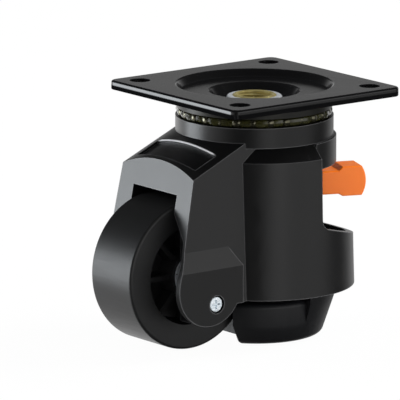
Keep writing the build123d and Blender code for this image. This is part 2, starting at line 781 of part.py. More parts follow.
with BuildPart() as pawl_washer:
    with BuildSketch(across(foot_offset + washer_inner + spring_play)):
        Circle(pawl_collar_radius)
        Circle(pawl_radius + running_fit, mode=Mode.SUBTRACT)
    extrude(amount=pawl_washer_length - spring_play)
keep(pawl_washer, "pawl_washer", lever_direction)

spring_length = plug_inner - spring_inner - spring_wire - spring_play * 2
with BuildPart() as pawl_spring:
    spring_start = foot_offset + spring_inner + spring_wire / 2 + spring_play
    with BuildLine():
        coil = Helix(
            pitch=spring_length / spring_turns,
            height=spring_length,
            radius=pawl_collar_radius - spring_wire / 2,
            center=(spring_start, 0, nut_middle),
            direction=(1, 0, 0),
        )
    with BuildSketch(Plane(origin=coil @ 0, z_dir=coil % 0)):
        Circle(spring_wire / 2)
    sweep()
keep(pawl_spring, "pawl_spring", lever_direction)

pawl_start = foot_offset + ratchet_bore
bar_end = lever_start + lever_bar_length
head_start = bar_end + lever_step_run
head_end = head_start + lever_head_length
pawl_end = (head_start + head_end) / 2
with BuildPart() as pawl:
    with BuildSketch(across(pawl_start)):
        Circle(pawl_radius)
    extrude(amount=pawl_end - pawl_start)
    with BuildSketch(across(foot_offset + collar_inner)):
        Circle(pawl_collar_radius)
    extrude(amount=pawl_collar_length)
    ramp = pawl_radius * 2 * tan(radians(pawl_tip_ramp))
    with BuildSketch(level(nut_middle)):
        with BuildLine():
            Polyline(
                (pawl_start, -pawl_radius),
                (pawl_start + ramp, -pawl_radius),
                (pawl_start, pawl_radius),
                close=True,
            )
        make_face()
    extrude(amount=pawl_radius, both=True, mode=Mode.SUBTRACT)
keep(pawl, "pawl", lever_direction)

with BuildPart() as lever:
    with BuildSketch(Plane.XZ.shift_origin((0, 0, nut_middle))):
        with BuildLine():
            bar_half = lever_bar_height / 2
            Polyline(
                (head_end, lever_head_top),
                (head_start, lever_head_top),
                (bar_end, bar_half),
                (lever_start, bar_half),
                (lever_start, -bar_half),
                (bar_end, -bar_half),
                (head_start, -lever_head_bottom),
                (head_end, -lever_head_bottom),
            )
            ThreePointArc(
                (head_end, -lever_head_bottom),
                (head_end + lever_head_crown, (lever_head_top - lever_head_bottom) / 2),
                (head_end, lever_head_top),
            )
        make_face()
    extrude(amount=lever_width / 2, both=True)
    fillet(lever.edges(), lever_edge_round)
    with BuildSketch(across(lever_start)):
        Circle(pawl_radius + seat_gap)
    extrude(amount=pawl_end - lever_start + seat_gap, mode=Mode.SUBTRACT)
keep(lever, "lever", lever_direction)

# ================================================================ foot
notch_end = axle_x + wheel_radius + pad_notch_gap
notch_half = wheel_width / 2 + pad_notch_side_gap
pad_x = foot_offset - pad_lead
with BuildPart() as foot_pad:
    with BuildSketch(Plane.XZ.shift_origin((pad_x, 0, 0))):
        with BuildLine():
            Polyline(
                (0, -stand_height),
                (pad_bottom_radius, -stand_height),
                (pad_shoulder_radius, -pad_shoulder),
                (pad_top_radius, -pad_top),
                (0, -pad_top),
                close=True,
            )
        make_face()
        fillet(vertices().group_by(Axis.Y)[0].sort_by(Axis.X)[-1], pad_bottom_round)
    revolve(axis=Axis((pad_x, 0, 0), (0, 0, 1)))
    # the front half is lower and slimmer than the rear half
    with BuildSketch(level(-pad_top)):
        with Locations((foot_offset - barrel_radius, 0)):
            Rectangle(barrel_radius * 2, barrel_radius * 2)
    extrude(amount=pad_top - pad_front_rim, mode=Mode.SUBTRACT)
    with BuildSketch(level(-pad_front_rim)):
        with Locations((foot_offset - barrel_radius, 0)):
            Rectangle(barrel_radius * 2, barrel_radius * 2)
        with Locations((pad_x, 0)):
            Circle(pad_shoulder_radius - pad_front_trim, mode=Mode.SUBTRACT)
    extrude(amount=pad_front_rim - stand_height + pad_bottom_round, mode=Mode.SUBTRACT)
    # notch for the wheel
    with BuildSketch(level(-pad_top)):
        with Locations((notch_end - barrel_radius, 0)):
            Rectangle(barrel_radius * 2, notch_half * 2)
    extrude(amount=pad_top - stand_height, mode=Mode.SUBTRACT)
    front_rim = foot_pad.edges().filter_by(GeomType.CIRCLE)
    front_rim = front_rim.filter_by(lambda e: abs(e.center().Z + pad_front_rim) < same_size)
    fillet(front_rim.filter_by(lambda e: e.radius < pad_shoulder_radius - pad_front_trim / 2), pad_rim_round)
    # recess for the foot plate, and the screw's hole
    with BuildSketch(level(-pad_top, pad_x)):
        Circle(pad_recess_radius)
        with Locations((notch_end - pad_x + pad_wall - barrel_radius, 0)):
            Rectangle(barrel_radius * 2, (notch_half + pad_wall) * 2, mode=Mode.SUBTRACT)
    extrude(amount=pad_top - pad_recess_floor, mode=Mode.SUBTRACT)
    with BuildSketch(level(-pad_top, foot_offset)):
        Circle(pad_screw_hole_radius)
    extrude(amount=pad_top - stand_height, mode=Mode.SUBTRACT)
keep(foot_pad, "foot_pad")

with BuildPart() as foot_plate:
    plate_outline = pad_recess_radius - seat_gap
    flange_bottom = -foot_plate_top - foot_plate_flange
    rib_length = plate_outline - pad_lead - foot_rib_thickness / 2
    with BuildSketch(level(flange_bottom, pad_x)):
        Circle(plate_outline)
    extrude(amount=foot_plate_flange)
    with BuildSketch(level(-pad_recess_floor, pad_x)):
        Circle(plate_outline)
        Circle(plate_outline - foot_rib_thickness, mode=Mode.SUBTRACT)
    extrude(amount=pad_recess_floor + flange_bottom)
    with BuildSketch(level(-pad_recess_floor, foot_offset)):
        Circle(foot_hub_radius)
        with Locations((guide_x, guide_y), (guide_x, -guide_y)):
            Circle(guide_rod_radius + foot_rib_thickness)
        with PolarLocations(rib_length / 2, foot_rib_count):
            Rectangle(rib_length, foot_rib_thickness)
    extrude(amount=pad_recess_floor + flange_bottom)
    with BuildSketch(level(-foot_plate_top, foot_offset)):
        with Locations((notch_end - foot_offset + pad_wall + seat_gap - barrel_radius, 0)):
            Rectangle(barrel_radius * 2, (notch_half + pad_wall + seat_gap) * 2)
    extrude(amount=foot_plate_top - pad_recess_floor, mode=Mode.SUBTRACT)
    with BuildSketch(level(-foot_plate_top, foot_offset)):
        Circle(stem_radius + seat_gap)
    extrude(amount=-stem_seat_depth, mode=Mode.SUBTRACT)
    with BuildSketch(level(-foot_plate_top, foot_offset)):
        Circle(foot_screw_radius + seat_gap)
    extrude(amount=foot_plate_top - pad_recess_floor, mode=Mode.SUBTRACT)
    with BuildSketch(level(-foot_plate_top, foot_offset)):
        Circle(stem_collar_radius + seat_gap)
    extrude(amount=-stem_collar_height, mode=Mode.SUBTRACT)
    with BuildSketch(level(-foot_plate_top, foot_offset)):
        with Locations((guide_x, guide_y), (guide_x, -guide_y)):
            Circle(guide_rod_radius + seat_gap)
    extrude(amount=foot_plate_top - pad_recess_floor + guide_rod_seat, mode=Mode.SUBTRACT)
keep(foot_plate, "foot_plate")

stem_bottom = -foot_plate_top - stem_seat_depth
with BuildPart() as threaded_stem:
    with BuildSketch(level(stem_bottom, foot_offset)):
        Circle(stem_radius)
    extrude(amount=-stem_top - stem_bottom)
    chamfer(threaded_stem.edges().group_by(Axis.Z)[-1], stem_end_chamfer)
    with BuildSketch(level(-foot_plate_top, foot_offset)):
        Circle(stem_collar_radius)
    extrude(amount=-stem_collar_height)
    with BuildSketch(level(stem_bottom, foot_offset)):
        Circle(foot_screw_radius)
    extrude(amount=foot_screw_length, mode=Mode.SUBTRACT)
keep(threaded_stem, "threaded_stem")

with BuildPart() as foot_screw:
    with BuildSketch(level(-pad_recess_floor, foot_offset)):
        Circle(foot_screw_head_radius)
    extrude(amount=-foot_screw_head_height)
    with BuildSketch(level(-pad_recess_floor, foot_offset)):
        Circle(foot_screw_radius - seat_gap)
    extrude(amount=foot_screw_length)
    with BuildSketch(level(-pad_recess_floor - foot_screw_head_height, foot_offset)):
        RegularPolygon(foot_screw_socket, 6)
    extrude(amount=foot_screw_socket_depth, mode=Mode.SUBTRACT)
    chamfer(foot_screw.edges().filter_by(GeomType.CIRCLE).group_by(Axis.Z)[0], foot_screw_chamfer)
keep(foot_screw, "foot_screw")

with BuildPart() as guide_rods:
    rod_bottom = -pad_recess_floor + guide_rod_seat
    with BuildSketch(level(rod_bottom, foot_offset)):
        with Locations((guide_x, guide_y), (guide_x, -guide_y)):
            Circle(guide_rod_radius)
    extrude(amount=-guide_rod_top - rod_bottom)
    chamfer(guide_rods.edges().group_by(Axis.Z)[-1], rod_end_chamfer)
keep(guide_rods, "guide_rods")

# ---------------------------------------------------------------- write the pieces
os.makedirs("parts", exist_ok=True)
for name, part in pieces:
    export_step(part, f"parts/{name}.step")
    print(f"{name:22s} solids {len(part.solids()):3d}  volume {part.volume:10.1f}")
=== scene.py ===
# %% [markdown]
# Levelling castor with a ratchet lever
#
# The castor is a swivel wheel with a foot beside it.  An orange lever winds the foot down until it
# carries the machine.  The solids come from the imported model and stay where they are.  This
# script gives them their finishes, adds the threads and the grease, and lights the whole.
# Every length is in metres.

# %% Load the frame
import math

import bpy
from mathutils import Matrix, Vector


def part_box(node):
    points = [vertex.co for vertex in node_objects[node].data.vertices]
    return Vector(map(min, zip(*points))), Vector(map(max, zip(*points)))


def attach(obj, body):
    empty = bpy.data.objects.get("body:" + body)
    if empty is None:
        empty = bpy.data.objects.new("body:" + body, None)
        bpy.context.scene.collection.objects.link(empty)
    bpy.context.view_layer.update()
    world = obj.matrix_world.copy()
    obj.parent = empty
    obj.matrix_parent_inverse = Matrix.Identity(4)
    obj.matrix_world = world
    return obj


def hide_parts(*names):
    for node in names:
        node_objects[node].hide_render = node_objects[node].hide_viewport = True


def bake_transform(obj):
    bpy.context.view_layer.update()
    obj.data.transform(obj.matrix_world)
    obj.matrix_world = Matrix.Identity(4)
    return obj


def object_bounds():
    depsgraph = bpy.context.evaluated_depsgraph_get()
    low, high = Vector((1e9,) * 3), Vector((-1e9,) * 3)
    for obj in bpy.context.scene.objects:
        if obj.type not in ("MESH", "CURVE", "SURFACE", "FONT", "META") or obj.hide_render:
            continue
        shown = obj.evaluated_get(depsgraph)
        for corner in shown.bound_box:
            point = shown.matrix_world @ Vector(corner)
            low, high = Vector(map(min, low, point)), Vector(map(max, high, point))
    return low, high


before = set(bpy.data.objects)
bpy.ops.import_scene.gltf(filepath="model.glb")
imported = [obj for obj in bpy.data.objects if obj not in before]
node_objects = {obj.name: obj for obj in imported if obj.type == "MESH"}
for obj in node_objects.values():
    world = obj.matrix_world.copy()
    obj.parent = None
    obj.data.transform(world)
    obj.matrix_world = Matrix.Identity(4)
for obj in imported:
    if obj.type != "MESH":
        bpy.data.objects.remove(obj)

MM = 0.001
cad_low, cad_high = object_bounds()
print("solids:", len(node_objects), "box:", tuple(cad_low), tuple(cad_high))

# %% [markdown]
# The camera comes first, because it decides what shows.  A long lens from far away keeps the
# plate's edges nearly parallel, as in a catalogue.  It is placed by angle and distance
# about the point that it looks at, which makes it easy to turn around the part later.

# %% Camera
camera_azimuth = math.radians(-37.4)     # 0 stands on the -Y side, negative turns towards -X
camera_elevation = math.radians(11.95)
camera_distance = 2.581
camera_aim = Vector((-18.2, 14.6, -51.3)) * MM

back = Vector((
    math.sin(camera_azimuth) * math.cos(camera_elevation),
    -math.cos(camera_azimuth) * math.cos(camera_elevation),
    math.sin(camera_elevation),
))
camera_data = bpy.data.cameras.new("camera")
camera_data.lens = 540.0                 # millimetres, like the sensor's width
camera_data.sensor_width = 36.0
camera_data.clip_end = 50.0
camera = bpy.data.objects.new("camera", camera_data)
camera.location = camera_aim + back * camera_distance
camera.rotation_euler = (-back).to_track_quat("-Z", "Y").to_euler()
bpy.context.scene.collection.objects.link(camera)
bpy.context.scene.camera = camera
print("camera at", tuple(round(v, 3) for v in camera.location))

# %% [markdown]
# A black part has almost no colour of its own: what we see is the studio in its surface.  So each
# lamp is a soft panel, placed where one kind of surface mirrors it.  The low panel at the far
# left lights up all that faces the wheel's end.  It stays near the horizon, so that the plate's
# flat top mirrors it only from very low down.  The other three aren't mirrored at all: they only
# light what has a colour.

# %% Lamps
def soft_panel(name, place, aim, width, height, power, colour=(1.0, 1.0, 1.0), mirrored=True):
    """A rectangular area lamp at place that looks at aim; mirrored says whether gloss shows it."""
    data = bpy.data.lights.new(name, "AREA")
    data.shape = "RECTANGLE"
    data.size = width
    data.size_y = height
    data.energy = power
    data.color = colour
    lamp = bpy.data.objects.new(name, data)
    lamp.location = place
    lamp.rotation_euler = (Vector(aim) - Vector(place)).to_track_quat("-Z", "Y").to_euler()
    lamp.visible_glossy = mirrored
    bpy.context.scene.collection.objects.link(lamp)
    return lamp


castor_middle = Vector((-0.02, 0.0, -0.055))
left_tint = (0.91, 0.96, 1.0)
lamps = [
    soft_panel("left_panel", (-1.05, 1.10, -0.08), castor_middle, 0.8, 0.70, 11.2, left_tint),
    soft_panel(
        "left_top", (-1.00, 1.13, 0.55), castor_middle, 0.8, 0.6, 15.0, left_tint, mirrored=False,
    ),
    soft_panel("front_panel", (0.5, -2.0, 0.25), castor_middle, 0.6, 0.6, 14.0, mirrored=False),
    soft_panel("right_panel", (1.2, -0.4, 1.2), castor_middle, 0.7, 0.7, 30.0, mirrored=False),
]
print("lamps:", [lamp.name for lamp in lamps])

# %% [markdown]
# The world is the room.  The camera should see plain white, and a diffuse surface plain even
# light.  A glossy one should see a dark room with five soft lights in it: a white wall behind,
# near the horizon, a narrow strip in front, a wide glow to the right of it, another at the left,
# and a lit table below.  These helpers stand for the few nodes that such lights are made of.

# %% World helpers
def math_node(tree, operation, first, second=0.0):
    """A Math node.  Each operand is a number or an output socket."""
    node = tree.nodes.new("ShaderNodeMath")
    node.operation = operation
    for index, value in enumerate((first, second)):
        if isinstance(value, (int, float)):
            node.inputs[index].default_value = value
        else:
            tree.links.new(value, node.inputs[index])
    return node.outputs[0]


def dot_product(tree, first, second):
    """The dot product of a vector socket with another one, or with three numbers."""
    node = tree.nodes.new("ShaderNodeVectorMath")
    node.operation = "DOT_PRODUCT"
    tree.links.new(first, node.inputs[0])
    if isinstance(second, bpy.types.NodeSocket):
        tree.links.new(second, node.inputs[1])
    else:
        node.inputs[1].default_value = second
    return node.outputs["Value"]


def fade(tree, value, start, end):
    """0 where value is at start, 1 where it is at end, and smooth between."""
    node = tree.nodes.new("ShaderNodeMapRange")
    node.interpolation_type = "SMOOTHSTEP"
    node.inputs["From Min"].default_value = start
    node.inputs["From Max"].default_value = end
    tree.links.new(value, node.inputs["Value"])
    return node.outputs["Result"]


# %% [markdown]
# A direction of the world is its Generated coordinate.  A Map Range on its dot product with a
# heading makes a light there, and two more on its height end the light above and below.  Light
# Path tells the rays apart, so one Background serves the camera and both kinds of surface.

# %% World
room_light = 0.62           # the whole room, to a diffuse ray
room_mirror = 0.06          # the dark room, to a glossy ray
# heading, dot products where it starts and is full, heights (sine) where it starts and is full
# below and above, and brightness
mirrored_lights = {
    "white wall": ((0.607, 0.794), 0.42, 0.93, -2.0, -1.5, 0.31, 0.02, 0.75),
    "front strip": ((-0.367, -0.930), 0.935, 0.997, -0.30, -0.10, 0.60, 0.30, 1.25),
    "right glow": ((0.300, -0.954), 0.60, 0.97, -0.30, -0.05, 0.60, 0.30, 1.35),
    "left glow": ((-0.574, 0.819), 0.10, 0.90, -0.60, -0.30, 0.10, -0.05, 1.0),
    "lit table": ((-0.200, 0.980), 0.10, 0.50, -0.25, -0.50, 2.0, 1.5, 0.85),
}

world = bpy.data.worlds.new("room")
world.use_nodes = True
bpy.context.scene.world = world
tree = world.node_tree
tree.nodes.clear()
direction = tree.nodes.new("ShaderNodeTexCoord").outputs["Generated"]
split = tree.nodes.new("ShaderNodeSeparateXYZ")
tree.links.new(direction, split.inputs["Vector"])
height = split.outputs["Z"]
glossy = room_mirror
for heading, start, full, low, low_full, high, high_full, strength in mirrored_lights.values():
    light = fade(tree, dot_product(tree, direction, (*heading, 0.0)), start, full)
    light = math_node(tree, "MULTIPLY", light, fade(tree, height, low, low_full))
    light = math_node(tree, "MULTIPLY", light, fade(tree, height, high, high_full))
    light = math_node(tree, "MULTIPLY", light, strength)
    glossy = math_node(tree, "ADD", light, glossy)

path = tree.nodes.new("ShaderNodeLightPath")
pick_glossy = tree.nodes.new("ShaderNodeMix")
pick_glossy.inputs["A"].default_value = room_light
pick_camera = tree.nodes.new("ShaderNodeMix")
pick_camera.inputs["B"].default_value = 1.0
room = tree.nodes.new("ShaderNodeBackground")
room_out = tree.nodes.new("ShaderNodeOutputWorld")
tree.links.new(path.outputs["Is Glossy Ray"], pick_glossy.inputs["Factor"])
tree.links.new(glossy, pick_glossy.inputs["B"])
tree.links.new(pick_glossy.outputs["Result"], pick_camera.inputs["A"])
tree.links.new(path.outputs["Is Camera Ray"], pick_camera.inputs["Factor"])
tree.links.new(pick_camera.outputs["Result"], room.inputs["Strength"])
tree.links.new(room.outputs["Background"], room_out.inputs["Surface"])
bpy.context.scene.view_settings.view_transform = "Standard"
print("lights that only gloss shows:", list(mirrored_lights))

# %% [markdown]
# Three effects are used by more than one finish, so each is a node group with named sockets.  It is
# built once, and each material places it with values of its own.  These helpers make a group and the
# few nodes that come back in all of them.

# %% Node group helpers
def new_group(name, inputs, outputs):
    """An empty shader node group with the given sockets, and its two end nodes."""
    group = bpy.data.node_groups.new(name, "ShaderNodeTree")
    for label, kind, value in inputs:
        socket = group.interface.new_socket(label, in_out="INPUT", socket_type=kind)
        socket.default_value = value
    for label, kind in outputs:
        group.interface.new_socket(label, in_out="OUTPUT", socket_type=kind)
    start = group.nodes.new("NodeGroupInput")
    end = group.nodes.new("NodeGroupOutput")
    return group, start, end


def colour_mix(tree, factor, first, second):
    """A colour Mix node.  The factor is a socket, and each colour is a socket or three numbers."""
    node = tree.nodes.new("ShaderNodeMix")
    node.data_type = "RGBA"
    tree.links.new(factor, node.inputs["Factor"])
    # its number, vector and colour sockets share their names, so the colour ones go by index
    for index, colour in ((6, first), (7, second)):
        if isinstance(colour, bpy.types.NodeSocket):
            tree.links.new(colour, node.inputs[index])
        else:
            node.inputs[index].default_value = (*colour, 1.0)
    return node.outputs[2]


def noise(tree, vector, scale, detail=2.0, rough=0.5):
    """A Noise Texture's value at a scale that is a number or a socket."""
    node = tree.nodes.new("ShaderNodeTexNoise")
    tree.links.new(vector, node.inputs["Vector"])
    if isinstance(scale, (int, float)):
        node.inputs["Scale"].default_value = scale
    else:
        tree.links.new(scale, node.inputs["Scale"])
    node.inputs["Detail"].default_value = detail
    node.inputs["Roughness"].default_value = rough
    return node.outputs["Fac"]


def bump(tree, height, strength, distance, normal=None):
    """A Bump node's normal; strength is a number or a socket, normal the one it starts from."""
    node = tree.nodes.new("ShaderNodeBump")
    node.inputs["Distance"].default_value = distance
    if isinstance(strength, (int, float)):
        node.inputs["Strength"].default_value = strength
    else:
        tree.links.new(strength, node.inputs["Strength"])
    tree.links.new(height, node.inputs["Height"])
    if normal:
        tree.links.new(normal, node.inputs["Normal"])
    return node.outputs["Normal"]


# %% [markdown]
# A moulded or coated surface is never quite even: it has tiny bumps, and its gloss and shade drift a
# little.  A fine noise makes the bumps, and a coarse one mixes two colours and moves the roughness.
# The bumps start from a normal that comes in, so that rounded edges can be handed on to them.

# %% Fine grain
grain_depth = 0.2 * MM
cloud_scale = 55.0          # clouds of shade about 18 mm wide
grain_group, start, end = new_group(
    "fine grain",
    [
        ("Color", "NodeSocketColor", (0.05, 0.05, 0.05, 1.0)),
        ("Pale Color", "NodeSocketColor", (0.07, 0.07, 0.07, 1.0)),
        ("Grain Scale", "NodeSocketFloat", 1800.0),
        ("Grain Strength", "NodeSocketFloat", 0.2),
        ("Roughness", "NodeSocketFloat", 0.4),
        ("Roughness Spread", "NodeSocketFloat", 0.1),
        ("Normal", "NodeSocketVector", (0.0, 0.0, 0.0)),
    ],
    [("Color", "NodeSocketColor"), ("Roughness", "NodeSocketFloat"), ("Normal", "NodeSocketVector")],
)
place = grain_group.nodes.new("ShaderNodeTexCoord").outputs["Object"]
grain = noise(grain_group, place, start.outputs["Grain Scale"], detail=3.0)
cloud = noise(grain_group, place, cloud_scale, detail=4.0, rough=0.6)
grain_group.links.new(
    colour_mix(grain_group, cloud, start.outputs["Color"], start.outputs["Pale Color"]),
    end.inputs["Color"],
)
swing = math_node(grain_group, "SUBTRACT", cloud, 0.5)
swing = math_node(grain_group, "MULTIPLY", swing, start.outputs["Roughness Spread"])
grain_group.links.new(
    math_node(grain_group, "ADD", swing, start.outputs["Roughness"]), end.inputs["Roughness"]
)
grain_group.links.new(
    bump(grain_group, grain, start.outputs["Grain Strength"], grain_depth, start.outputs["Normal"]),
    end.inputs["Normal"],
)
print("group:", grain_group.name)

# %% [markdown]
# A lathe, a die or a rolling floor leaves marks along one direction.  The material squeezes the
# coordinates that it sends in, and then one noise draws the marks in colour, gloss and height.

# %% Turning marks
mark_depth = 0.1 * MM
turning_group, start, end = new_group(
    "turning marks",
    [
        ("Vector", "NodeSocketVector", (0.0, 0.0, 0.0)),
        ("Mark Scale", "NodeSocketFloat", 900.0),
        ("Mark Strength", "NodeSocketFloat", 0.15),
        ("Roughness", "NodeSocketFloat", 0.35),
        ("Roughness Spread", "NodeSocketFloat", 0.15),
    ],
    [("Mask", "NodeSocketFloat"), ("Roughness", "NodeSocketFloat"), ("Normal", "NodeSocketVector")],
)
streak = noise(turning_group, start.outputs["Vector"], start.outputs["Mark Scale"])
turning_group.links.new(streak, end.inputs["Mask"])
swing = math_node(turning_group, "SUBTRACT", streak, 0.5)
swing = math_node(turning_group, "MULTIPLY", swing, start.outputs["Roughness Spread"])
turning_group.links.new(
    math_node(turning_group, "ADD", swing, start.outputs["Roughness"]), end.inputs["Roughness"]
)
turning_group.links.new(
    bump(turning_group, streak, start.outputs["Mark Strength"], mark_depth), end.inputs["Normal"]
)
print("group:", turning_group.name)

# %% [markdown]
# No real edge is sharp.  A Bevel node gives the normal that a rounded edge would have.  Where it
# differs from the flat one there is an edge, so their dot product makes the mask for a paler colour,
# a painted highlight along every edge, and the rounded normal goes out as well, to shine as it should.

# %% Soft edges and their painted highlight
edge_radius = 0.7 * MM
edge_contrast = 6.0
edge_group, start, end = new_group(
    "soft edges, painted highlight",
    [
        ("Color", "NodeSocketColor", (0.05, 0.05, 0.05, 1.0)),
        ("Edge Color", "NodeSocketColor", (0.2, 0.2, 0.2, 1.0)),
        ("Edge Amount", "NodeSocketFloat", 0.5),
    ],
    [
        ("Color", "NodeSocketColor"), ("Mask", "NodeSocketFloat"), ("Normal", "NodeSocketVector"),
    ],
)
geometry = edge_group.nodes.new("ShaderNodeNewGeometry")
bevel = edge_group.nodes.new("ShaderNodeBevel")
bevel.samples = 8
bevel.inputs["Radius"].default_value = edge_radius
edge_group.links.new(bevel.outputs["Normal"], end.inputs["Normal"])
alike = dot_product(edge_group, geometry.outputs["Normal"], bevel.outputs["Normal"])
away = math_node(edge_group, "SUBTRACT", 1.0, alike)
away = math_node(edge_group, "MULTIPLY", away, edge_contrast)
away = math_node(edge_group, "MINIMUM", away, 1.0)
away = math_node(edge_group, "MULTIPLY", away, start.outputs["Edge Amount"])
edge_group.links.new(away, end.inputs["Mask"])
edge_group.links.new(
    colour_mix(edge_group, away, start.outputs["Color"], start.outputs["Edge Color"]),
    end.inputs["Color"],
)
print("group:", edge_group.name, "radius", edge_radius)

# %% [markdown]
# A material is one Principled shader.  The groups feed its colour, roughness and normal, and
# everything that is the same all over the surface is set on the shader's own sockets.

# %% Material helpers
def new_material(name):
    """A material with an empty Principled shader; returns material, tree and shader."""
    material = bpy.data.materials.new(name)
    material.use_nodes = True
    tree = material.node_tree
    tree.nodes.clear()
    shader = tree.nodes.new("ShaderNodeBsdfPrincipled")
    out = tree.nodes.new("ShaderNodeOutputMaterial")
    tree.links.new(shader.outputs["BSDF"], out.inputs["Surface"])
    return material, tree, shader


def use_group(tree, group, **values):
    """Place a node group and set its sockets; _ in a name stands for a space."""
    node = tree.nodes.new("ShaderNodeGroup")
    node.node_tree = group
    for label, value in values.items():
        socket = node.inputs[label.replace("_", " ")]
        if isinstance(value, tuple) and len(value) == 3 and socket.type == "RGBA":
            value = (*value, 1.0)
        socket.default_value = value
    return node


def grained(
    name, colour, pale, grain_scale, grain_strength, rough, spread, edge=None, **shader_values
):
    """A coated or moulded finish: fine grain, and, with edge, a painted highlight's colour and amount.
    """
    material, tree, shader = new_material(name)
    grain_node = use_group(
        tree, grain_group, Color=colour, Pale_Color=pale, Grain_Scale=grain_scale,
        Grain_Strength=grain_strength, Roughness=rough, Roughness_Spread=spread,
    )
    base = grain_node.outputs["Color"]
    normal = tree.nodes.new("ShaderNodeNewGeometry").outputs["Normal"]
    # the edge colour is a painted highlight along the edges
    if edge:
        edge_node = use_group(tree, edge_group, Edge_Color=edge[0], Edge_Amount=edge[1])
        tree.links.new(base, edge_node.inputs["Color"])
        base = edge_node.outputs["Color"]
        normal = edge_node.outputs["Normal"]
    tree.links.new(normal, grain_node.inputs["Normal"])
    tree.links.new(base, shader.inputs["Base Color"])
    tree.links.new(grain_node.outputs["Roughness"], shader.inputs["Roughness"])
    tree.links.new(grain_node.outputs["Normal"], shader.inputs["Normal"])
    for label, value in shader_values.items():
        shader.inputs[label.replace("_", " ")].default_value = value
    return material


def turned(name, colour, pale, stretch, mark_scale, mark_strength, rough, spread, **shader_values):
    """A turned, drawn or rolled finish: marks squeezed along one axis of the part."""
    material, tree, shader = new_material(name)
    place = tree.nodes.new("ShaderNodeTexCoord")
    squeeze = tree.nodes.new("ShaderNodeMapping")
    squeeze.inputs["Scale"].default_value = stretch
    tree.links.new(place.outputs["Object"], squeeze.inputs["Vector"])
    marks = use_group(
        tree, turning_group, Mark_Scale=mark_scale, Mark_Strength=mark_strength,
        Roughness=rough, Roughness_Spread=spread,
    )
    tree.links.new(squeeze.outputs["Vector"], marks.inputs["Vector"])
    base = colour_mix(tree, marks.outputs["Mask"], colour, pale)
    tree.links.new(base, shader.inputs["Base Color"])
    tree.links.new(marks.outputs["Roughness"], shader.inputs["Roughness"])
    tree.links.new(marks.outputs["Normal"], shader.inputs["Normal"])
    for label, value in shader_values.items():
        shader.inputs[label.replace("_", " ")].default_value = value
    return material


# %% [markdown]
# The plate is pressed steel under a smooth black coat.  The housing is a casting with a satin
# coat.  The wheel is hard nylon, turned on its tread, and the foot is rubber.  All of them are nearly
# black, so it is the roughness and the coat that tell them apart.

# %% Black finishes
# each edge colour below is a painted highlight, paler than the coat, along the part's edges
plate_coat = grained(
    "plate_coat", (0.0030, 0.0030, 0.0033), (0.0050, 0.0050, 0.0053), 1500.0, 0.04, 0.45, 0.05,
    edge=((0.03, 0.03, 0.032), 0.4), Specular_IOR_Level=0.0, Coat_Roughness=0.17,
)
housing_coat = grained(
    "housing_coat", (0.0045, 0.0045, 0.0047), (0.0065, 0.0065, 0.0067), 2600.0, 0.10, 0.32, 0.05,
    edge=((0.15, 0.15, 0.155), 0.7),
)
rubber_skin = grained(
    "rubber_skin", (0.0040, 0.0042, 0.0054), (0.0060, 0.0062, 0.0074), 3200.0, 0.25, 0.50, 0.12,
)
dark_steel = grained(
    "dark_steel", (0.012, 0.012, 0.012), (0.03, 0.029, 0.024), 900.0, 0.1, 0.35, 0.1, Metallic=0.6,
)
wheel_nylon = turned(
    "wheel_nylon", (0.0055, 0.0055, 0.0057), (0.010, 0.010, 0.0104), (1.0, 0.06, 1.0), 1400.0, 0.2,
    0.42, 0.12,
)
black_finishes = (plate_coat, housing_coat, rubber_skin, dark_steel, wheel_nylon)
print("black finishes:", [finish.name for finish in black_finishes])

# %% [markdown]
# The plate was punched from sheet.  A punch leaves its cut edge smooth near the top and torn
# below, and the coat doesn't shine on the torn part, nor on the rubbed brow above the cut.  So the
# plate's gloss is a coat over a matt black, and masks made from a point's place take it away there.

# %% Punched edge
rim_width = 0.6 * MM
torn_start, torn_full = -1.7 * MM, -2.2 * MM
brow_start, brow_full = -0.8 * MM, -0.4 * MM
brow_dulling = 0.8

tree = plate_coat.node_tree
shader = tree.nodes["Principled BSDF"]
split = tree.nodes.new("ShaderNodeSeparateXYZ")
tree.links.new(tree.nodes.new("ShaderNodeTexCoord").outputs["Object"], split.inputs["Vector"])
plate_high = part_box("mounting_plate")[1]
across = math_node(
    tree, "MAXIMUM", math_node(tree, "ABSOLUTE", split.outputs["X"]),
    math_node(tree, "ABSOLUTE", split.outputs["Y"]),
)
rim = math_node(tree, "GREATER_THAN", across, plate_high.x - rim_width)
torn = math_node(tree, "MULTIPLY", rim, fade(tree, split.outputs["Z"], torn_start, torn_full))
brow = math_node(tree, "MULTIPLY", rim, fade(tree, split.outputs["Z"], brow_start, brow_full))
dull = math_node(tree, "ADD", torn, math_node(tree, "MULTIPLY", brow, brow_dulling))
tree.links.new(math_node(tree, "SUBTRACT", 1.0, dull), shader.inputs["Coat Weight"])
print("plate's rim starts at", round(plate_high.x - rim_width, 4))

# %% [markdown]
# The housing's roof has a shallow recess with an arched rear wall.  A thin pale line along its upper
# edge is a painted highlight, where a rounded edge would shine.  The roof is part of a cylinder that
# slopes, so the line is where a point's way along the slope is that of the wall and its distance from
# the cylinder's axis is the roof's.

# %% Painted highlight on the recess edge
roof_slope = math.radians(23.7)
roof_crown = Vector((-50.88, 0.0, -27.08)) * MM         # top of the arch, at the front
arch_radius = 75.0 * MM
along_roof = Vector((math.cos(roof_slope), 0.0, math.sin(roof_slope)))
out_of_roof = Vector((-math.sin(roof_slope), 0.0, math.cos(roof_slope)))
recess_rear = 14.2 * MM
recess_half_width = 20.4 * MM
painted_highlight_colour = (0.80, 0.80, 0.81)


def distance(tree, point, direction, origin):
    """How far a point lies from an origin in a direction."""
    return math_node(tree, "SUBTRACT", dot_product(tree, point, direction), origin.dot(direction))


